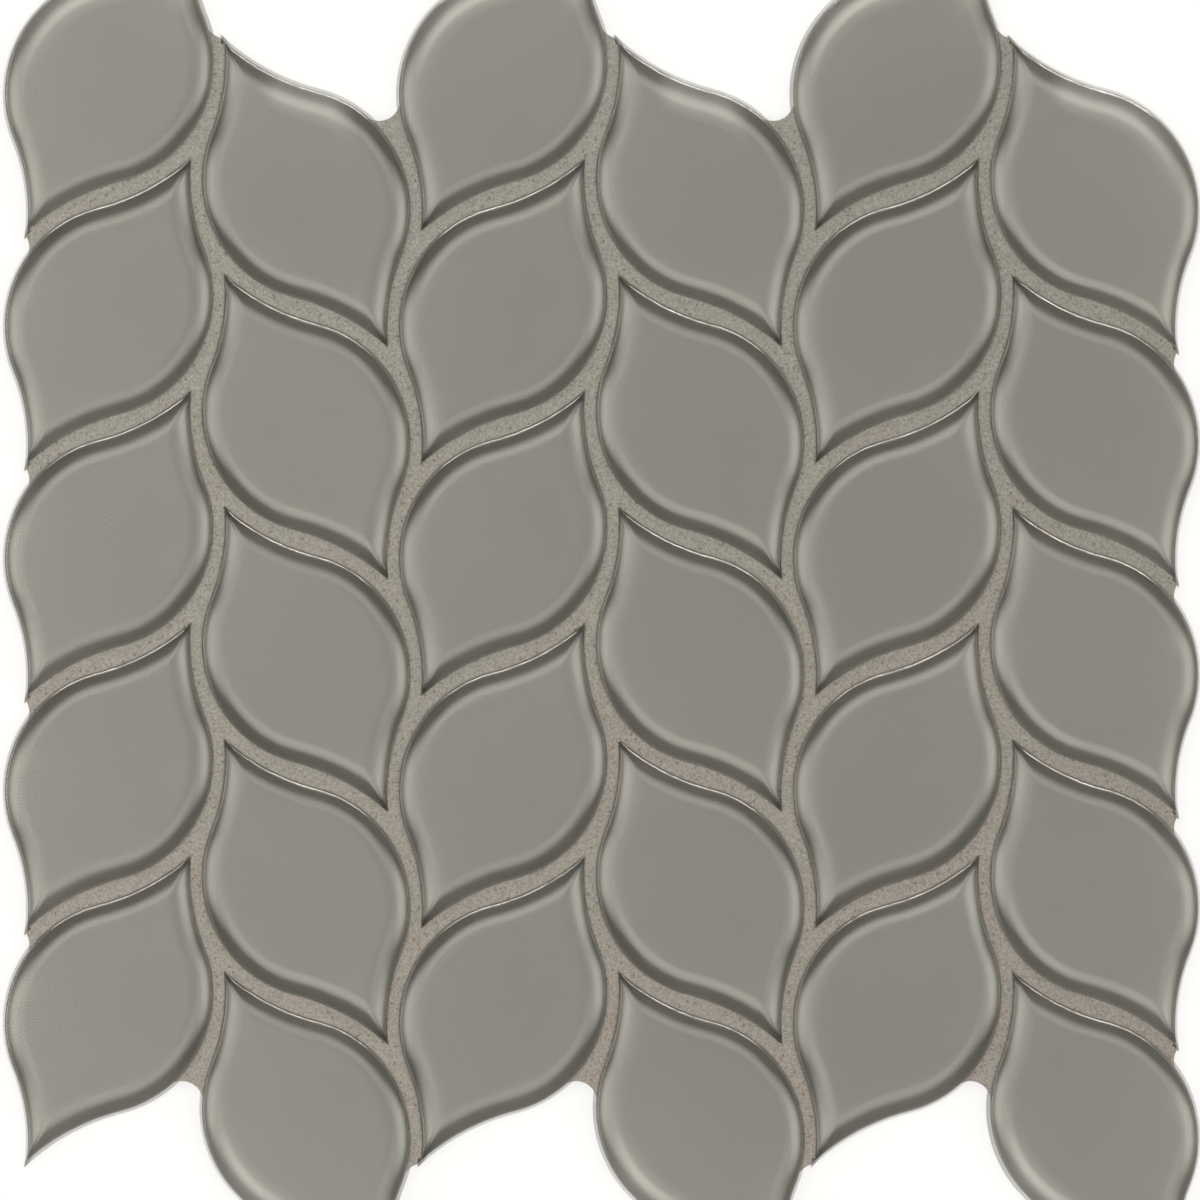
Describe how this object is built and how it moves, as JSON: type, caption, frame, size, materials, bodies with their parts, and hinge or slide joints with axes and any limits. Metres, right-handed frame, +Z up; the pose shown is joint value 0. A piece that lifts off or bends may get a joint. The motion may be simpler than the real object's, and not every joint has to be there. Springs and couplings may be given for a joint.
{
  "type": "glass mosaic tile sheet",
  "caption": "Grouted sheet of leaf-shaped glass mosaic tiles in mirrored, interlocking columns, with glossy rounded edges and a flat back, for facing a wall.",
  "frame": {"origin": "centre of the sheet on its flat back", "axes": "+Z up out of the glossy face, +Y along the columns of leaves, +X across the columns"},
  "size_m": [0.3, 0.3418, 0.008],
  "materials": {
    "glass": "glossy, grey behind, with no view through",
    "grout": "matte, fine sand grain"
  },
  "bodies": {
    "root": {"leaf_c1_r1": "glass", "leaf_c1_r2": "glass", "leaf_c1_r3": "glass", "leaf_c1_r4": "glass", "leaf_c1_r5": "glass", "leaf_c2_r1": "glass", "leaf_c2_r2": "glass", "leaf_c2_r3": "glass", "leaf_c2_r4": "glass", "leaf_c2_r5": "glass", "leaf_c3_r1": "glass", "leaf_c3_r2": "glass", "leaf_c3_r3": "glass", "leaf_c3_r4": "glass", "leaf_c3_r5": "glass", "leaf_c4_r1": "glass", "leaf_c4_r2": "glass", "leaf_c4_r3": "glass", "leaf_c4_r4": "glass", "leaf_c4_r5": "glass", "leaf_c5_r1": "glass", "leaf_c5_r2": "glass", "leaf_c5_r3": "glass", "leaf_c5_r4": "glass", "leaf_c5_r5": "glass", "leaf_c6_r1": "glass", "leaf_c6_r2": "glass", "leaf_c6_r3": "glass", "leaf_c6_r4": "glass", "leaf_c6_r5": "glass", "grout": "grout"}
  },
  "joints": []
}
